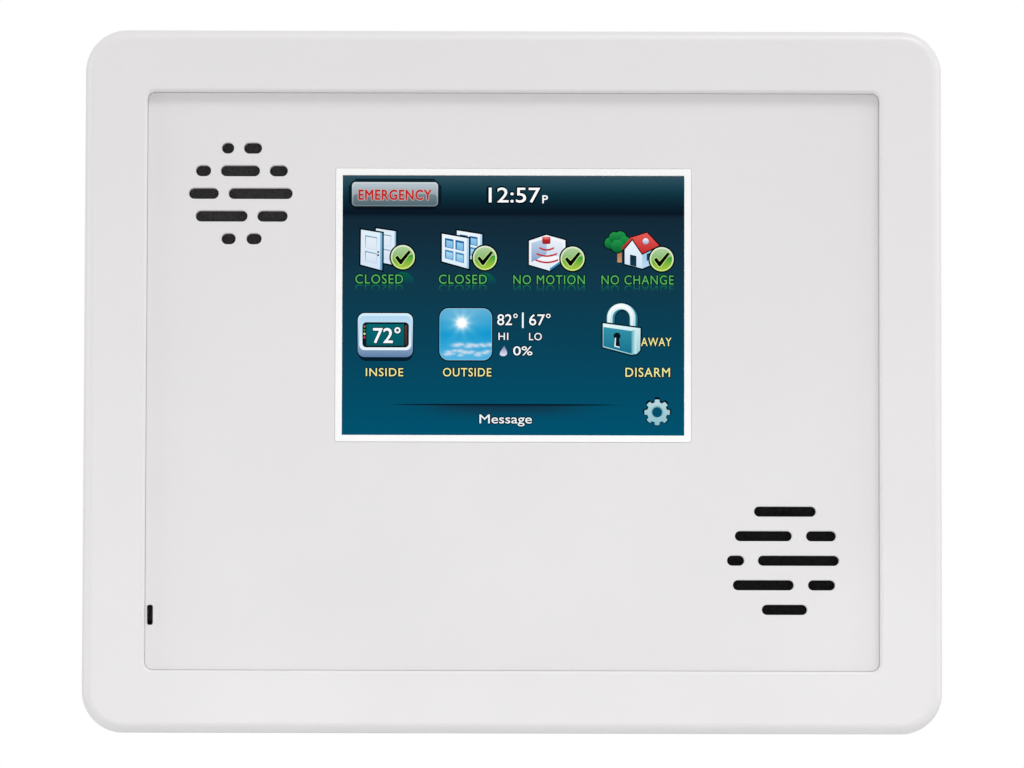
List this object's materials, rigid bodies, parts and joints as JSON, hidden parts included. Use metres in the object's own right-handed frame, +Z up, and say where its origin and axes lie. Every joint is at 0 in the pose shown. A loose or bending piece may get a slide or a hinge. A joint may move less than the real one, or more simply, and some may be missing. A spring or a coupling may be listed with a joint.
{
  "type": "touch screen alarm panel",
  "caption": "Wall-mounted alarm panel with a colour touch screen, two slotted sounder grilles and a battery; tilts forward off its wall plate on bottom hinges once its latches are pressed.",
  "frame": {"origin": "centre of the wall plate's back face, which lies on the wall", "axes": "+X right as seen from the front, +Y into the wall, +Z up"},
  "size_m": [0.175, 0.032, 0.1442],
  "materials": {
    "case_white": "fine satin moulded white plastic",
    "face_white": "very fine matt texture, white plastic",
    "surround_white": "bright smooth white plastic",
    "rear_white": "moulded off-white plastic",
    "glass": "clear glass touch panel",
    "display_steel": "display module in a thin steel tray, lit face to the front",
    "inner_black": "black moulded plastic",
    "ribbon_amber": "amber flexible circuit",
    "board_green": "green solder mask on glass-fibre board",
    "chip_black": "moulded epoxy",
    "tin": "tinned steel sheet",
    "capacitor_sleeve": "dark blue sleeve",
    "antenna_grey": "grey insulated wire",
    "cell_wrap": "shrink wrap over a metal can",
    "connector_white": "natural nylon",
    "lead_red": "red insulated wire",
    "lead_grey": "grey insulated wire",
    "foam": "closed-cell foam",
    "magnet": "plated magnet",
    "cone_paper": "black pressed paper",
    "brass": "brass disc",
    "terminal_green": "green moulded plastic",
    "screw_steel": "zinc-plated steel",
    "spring_steel": "spring steel strip"
  },
  "bodies": {
    "wall_side": {"wall_plate": "rear_white", "latch_spring_left": "spring_steel", "latch_spring_right": "spring_steel"},
    "panel": {"front_frame": "case_white", "face_plate": "face_white", "rear_cover": "rear_white", "screen_surround": "surround_white", "touch_panel": "glass", "display_module": "display_steel", "display_frame": "inner_black", "display_ribbon": "ribbon_amber", "main_board": "board_green", "processor_chip": "chip_black", "memory_chip": "chip_black", "radio_module": "tin", "radio_antenna": "antenna_grey", "capacitor": "capacitor_sleeve", "tamper_switch": "inner_black", "battery_cell_1": "cell_wrap", "battery_cell_2": "cell_wrap", "battery_cell_3": "cell_wrap", "battery_cell_4": "cell_wrap", "battery_cell_5": "cell_wrap", "battery_tray": "inner_black", "battery_cover": "rear_white", "battery_cover_screw": "screw_steel", "battery_connector": "connector_white", "battery_lead_red": "lead_red", "battery_lead_black": "inner_black", "speaker_lead": "lead_grey", "siren_lead": "lead_grey", "speaker_gasket": "foam", "speaker_frame": "tin", "speaker_magnet": "magnet", "speaker_surround": "inner_black", "siren_gasket": "foam", "siren_housing": "inner_black", "siren_disc": "brass", "terminal_block": "terminal_green", "terminal_screw_1": "screw_steel", "terminal_screw_2": "screw_steel", "terminal_screw_3": "screw_steel", "terminal_screw_4": "screw_steel", "terminal_screw_5": "screw_steel", "terminal_screw_6": "screw_steel", "case_screw_1": "screw_steel", "case_screw_2": "screw_steel", "case_screw_3": "screw_steel", "case_screw_4": "screw_steel", "board_screw_1": "screw_steel", "board_screw_2": "screw_steel", "board_screw_3": "screw_steel", "board_screw_4": "screw_steel", "hinge_pin_left": "screw_steel", "hinge_pin_right": "screw_steel"},
    "release_left": {"release_button_left": "case_white"},
    "release_right": {"release_button_right": "case_white"},
    "tamper_pin": {"tamper_plunger": "connector_white"},
    "speaker_diaphragm": {"speaker_cone": "cone_paper"}
  },
  "joints": [
    {"name": "panel_swing", "type": "hinge", "parent": "wall_side", "child": "panel", "pos_m": [0, -0.0056, -0.06675], "axis": [1, 0, 0], "range_deg": [0, 90], "deforming": ["latch_spring_left", "latch_spring_right"]},
    {"name": "release_left_press", "type": "slide", "parent": "panel", "child": "release_left", "axis": [0, 0, -1], "range_m": [0, 0.002], "stiffness_N_per_m": 800, "springref_m": -0.0005},
    {"name": "release_right_press", "type": "slide", "parent": "panel", "child": "release_right", "axis": [0, 0, -1], "range_m": [0, 0.002], "stiffness_N_per_m": 800, "springref_m": -0.0005},
    {"name": "tamper_slide", "type": "slide", "parent": "panel", "child": "tamper_pin", "axis": [0, 1, 0], "range_m": [0, 0.0015]},
    {"name": "speaker_drive", "type": "slide", "parent": "panel", "child": "speaker_diaphragm", "axis": [0, -1, 0], "range_m": [-0.0004, 0.0004], "stiffness_N_per_m": 1500, "deforming": ["speaker_surround"]}
  ],
  "couplings": [
    {"joint": "tamper_slide", "follows": "panel_swing", "m_per_rad": 0.00095}
  ]
}
